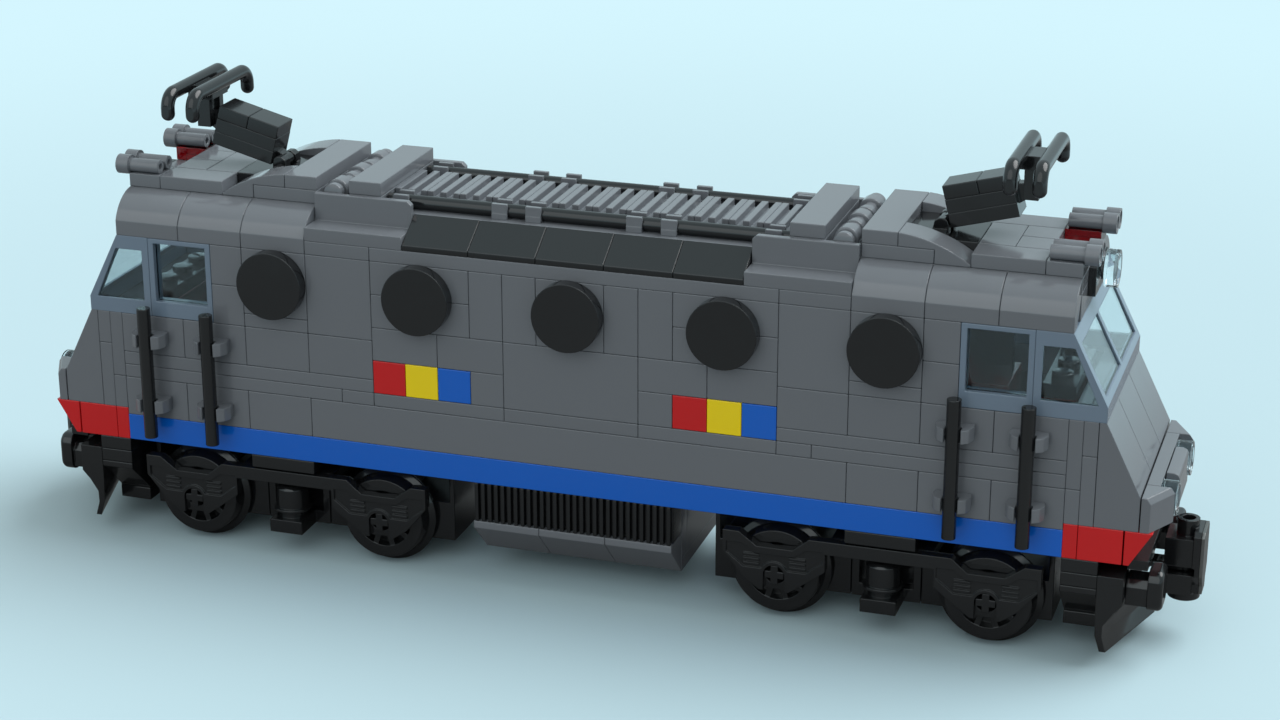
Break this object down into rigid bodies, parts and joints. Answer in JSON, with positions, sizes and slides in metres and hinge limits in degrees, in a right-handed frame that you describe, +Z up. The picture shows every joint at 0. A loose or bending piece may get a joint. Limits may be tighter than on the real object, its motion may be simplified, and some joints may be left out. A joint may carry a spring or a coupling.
{
  "type": "toy electric locomotive",
  "caption": "Toy electric locomotive of stud bricks with swivelling bogies, hinged roof current collectors and swinging magnet couplers.",
  "frame": {"origin": "on the rail plane, midway between the bogies and midway across the track", "axes": "+X along the track to the front end, +Y across to the left side, +Z up"},
  "size_m": [0.2808, 0.0612, 0.1099],
  "materials": {
    "dark_grey_plastic": "glossy moulded",
    "black_plastic": "glossy moulded",
    "blue_plastic": "glossy moulded",
    "red_plastic": "glossy moulded",
    "yellow_plastic": "glossy moulded",
    "sand_blue_plastic": "glossy moulded",
    "dark_red_plastic": "glossy moulded",
    "clear_plastic": "clear",
    "clear_red_plastic": "clear red",
    "magnet_metal": "satin"
  },
  "bodies": {
    "body_shell": {"bar_clips": "dark_grey_plastic", "bogie_pivots": "black_plastic", "buffer_beams": "black_plastic", "buffers": "black_plastic", "cab_floors": "dark_grey_plastic", "cant_bands": "dark_grey_plastic", "case_grilles": "black_plastic", "collector_bases": "black_plastic", "coupler_tongues": "black_plastic", "driver_desks": "dark_grey_plastic", "driver_seats": "dark_red_plastic", "end_frames": "black_plastic", "end_skirts": "red_plastic", "equipment_case": "dark_grey_plastic", "grab_rails": "black_plastic", "headlamp_brackets": "black_plastic", "horns": "dark_grey_plastic", "insulators": "dark_grey_plastic", "intake_covers": "black_plastic", "lamp_lenses": "clear_plastic", "marker_plates": "clear_red_plastic", "nose_lamp_boxes": "dark_grey_plastic", "nose_slopes": "dark_grey_plastic", "nose_strips": "dark_grey_plastic", "roof_brackets": "dark_grey_plastic", "roof_coves": "dark_grey_plastic", "roof_deck": "dark_grey_plastic", "roof_grille": "dark_grey_plastic", "roof_rails": "black_plastic", "roof_slopes": "black_plastic", "roof_tiles": "dark_grey_plastic", "roof_wings": "dark_grey_plastic", "side_tiles_blue": "blue_plastic", "side_tiles_red": "red_plastic", "side_tiles_yellow": "yellow_plastic", "side_window_frames": "sand_blue_plastic", "sole_tray": "blue_plastic", "wall_bricks": "dark_grey_plastic", "window_panes": "clear_plastic", "windscreen_frames": "sand_blue_plastic"},
    "bogie_front": {"bogie_frames_front": "black_plastic", "bogie_bolster_front": "black_plastic"},
    "wheelset_front_outer": {"wheels_front_outer": "black_plastic", "axle_front_outer": "black_plastic"},
    "wheelset_front_inner": {"wheels_front_inner": "black_plastic", "axle_front_inner": "black_plastic"},
    "collector_lower_front": {"collector_arm_front": "black_plastic"},
    "collector_upper_front": {"collector_head_front": "black_plastic"},
    "coupler_front": {"coupler_carrier_front": "black_plastic", "coupler_magnet_front": "magnet_metal"},
    "bogie_rear": {"bogie_frames_rear": "black_plastic", "bogie_bolster_rear": "black_plastic"},
    "wheelset_rear_outer": {"wheels_rear_outer": "black_plastic", "axle_rear_outer": "black_plastic"},
    "wheelset_rear_inner": {"wheels_rear_inner": "black_plastic", "axle_rear_inner": "black_plastic"},
    "collector_lower_rear": {"collector_arm_rear": "black_plastic"},
    "collector_upper_rear": {"collector_head_rear": "black_plastic"},
    "coupler_rear": {"coupler_carrier_rear": "black_plastic", "coupler_magnet_rear": "magnet_metal"}
  },
  "joints": [
    {"name": "bogie_front_swivel", "type": "hinge", "parent": "body_shell", "child": "bogie_front", "pos_m": [0.072, 0, 0.0216], "axis": [0, 0, 1], "range_deg": [-8, 8]},
    {"name": "wheelset_front_outer_spin", "type": "hinge", "parent": "bogie_front", "child": "wheelset_front_outer", "pos_m": [0.096, 0, 0.0118], "axis": [0, 1, 0], "continuous": true},
    {"name": "wheelset_front_inner_spin", "type": "hinge", "parent": "bogie_front", "child": "wheelset_front_inner", "pos_m": [0.048, 0, 0.0118], "axis": [0, 1, 0], "continuous": true},
    {"name": "collector_front_lift", "type": "hinge", "parent": "body_shell", "child": "collector_lower_front", "pos_m": [0.079, 0, 0.0911], "axis": [0, -1, 0], "range_deg": [-8, 40]},
    {"name": "collector_front_tip", "type": "hinge", "parent": "collector_lower_front", "child": "collector_upper_front", "pos_m": [0.0979, 0, 0.1001], "axis": [0, -1, 0], "range_deg": [-18, 18]},
    {"name": "coupler_front_swing", "type": "hinge", "parent": "body_shell", "child": "coupler_front", "pos_m": [0.1362, 0, 0.0173], "axis": [0, 0, 1], "range_deg": [-15, 15]},
    {"name": "bogie_rear_swivel", "type": "hinge", "parent": "body_shell", "child": "bogie_rear", "pos_m": [-0.072, 0, 0.0216], "axis": [0, 0, 1], "range_deg": [-8, 8]},
    {"name": "wheelset_rear_outer_spin", "type": "hinge", "parent": "bogie_rear", "child": "wheelset_rear_outer", "pos_m": [-0.096, 0, 0.0118], "axis": [0, 1, 0], "continuous": true},
    {"name": "wheelset_rear_inner_spin", "type": "hinge", "parent": "bogie_rear", "child": "wheelset_rear_inner", "pos_m": [-0.048, 0, 0.0118], "axis": [0, 1, 0], "continuous": true},
    {"name": "collector_rear_lift", "type": "hinge", "parent": "body_shell", "child": "collector_lower_rear", "pos_m": [-0.079, 0, 0.0911], "axis": [0, 1, 0], "range_deg": [-8, 40]},
    {"name": "collector_rear_tip", "type": "hinge", "parent": "collector_lower_rear", "child": "collector_upper_rear", "pos_m": [-0.0979, 0, 0.1001], "axis": [0, 1, 0], "range_deg": [-18, 18]},
    {"name": "coupler_rear_swing", "type": "hinge", "parent": "body_shell", "child": "coupler_rear", "pos_m": [-0.1362, 0, 0.0173], "axis": [0, 0, 1], "range_deg": [-15, 15]}
  ]
}
